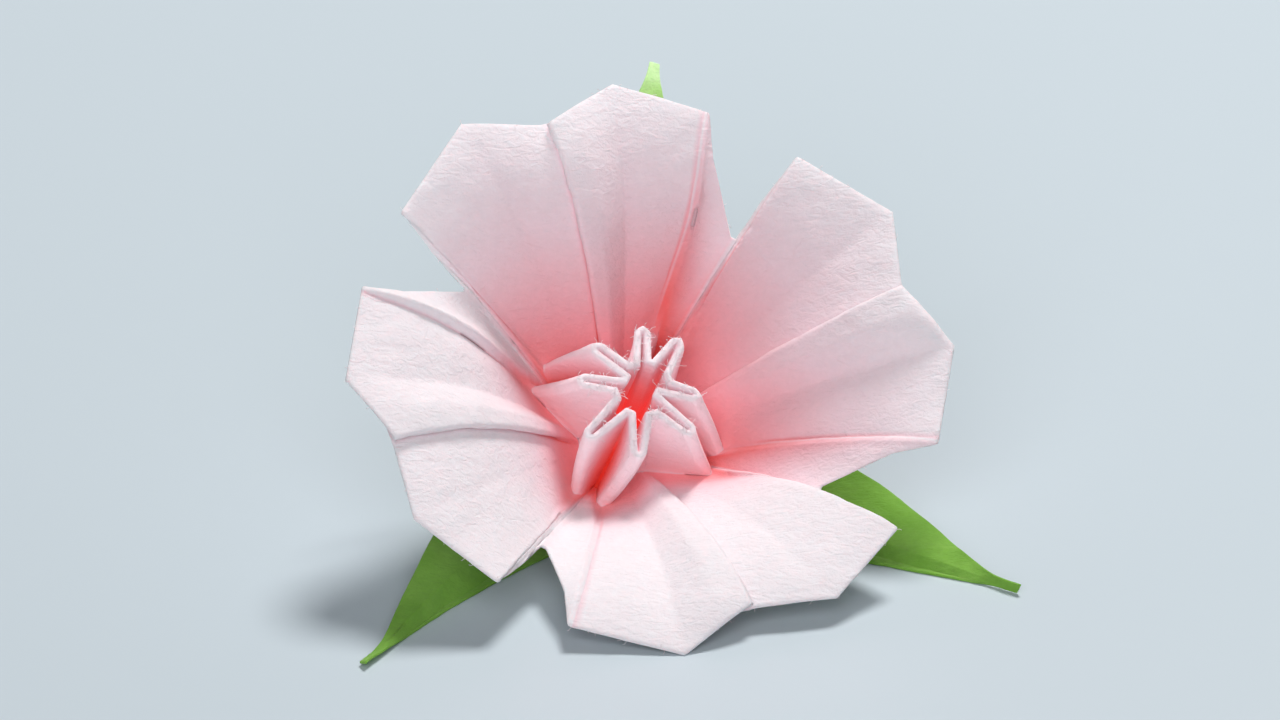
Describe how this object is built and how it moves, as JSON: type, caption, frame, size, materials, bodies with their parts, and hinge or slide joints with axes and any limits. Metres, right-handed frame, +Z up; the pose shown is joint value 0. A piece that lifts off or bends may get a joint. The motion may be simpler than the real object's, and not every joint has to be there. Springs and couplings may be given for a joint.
{
  "type": "folded paper flower",
  "caption": "Small pink paper blossom with four flared pleated petals round a star-shaped throat, on a green three-leaf paper base, lying tilted on its leaves.",
  "frame": {"origin": "middle of the footprint on the table", "axes": "+Z is up from the table, the blossom faces -Y and up, +X is to the right of someone looking into it"},
  "size_m": [0.0678, 0.0748, 0.0394],
  "materials": {
    "pink_paper": "fibrous matte, paler at the rim and red in the throat",
    "green_paper": "fibrous matte"
  },
  "bodies": {
    "root": {"blossom": "pink_paper", "leaf_base": "green_paper"}
  },
  "joints": []
}
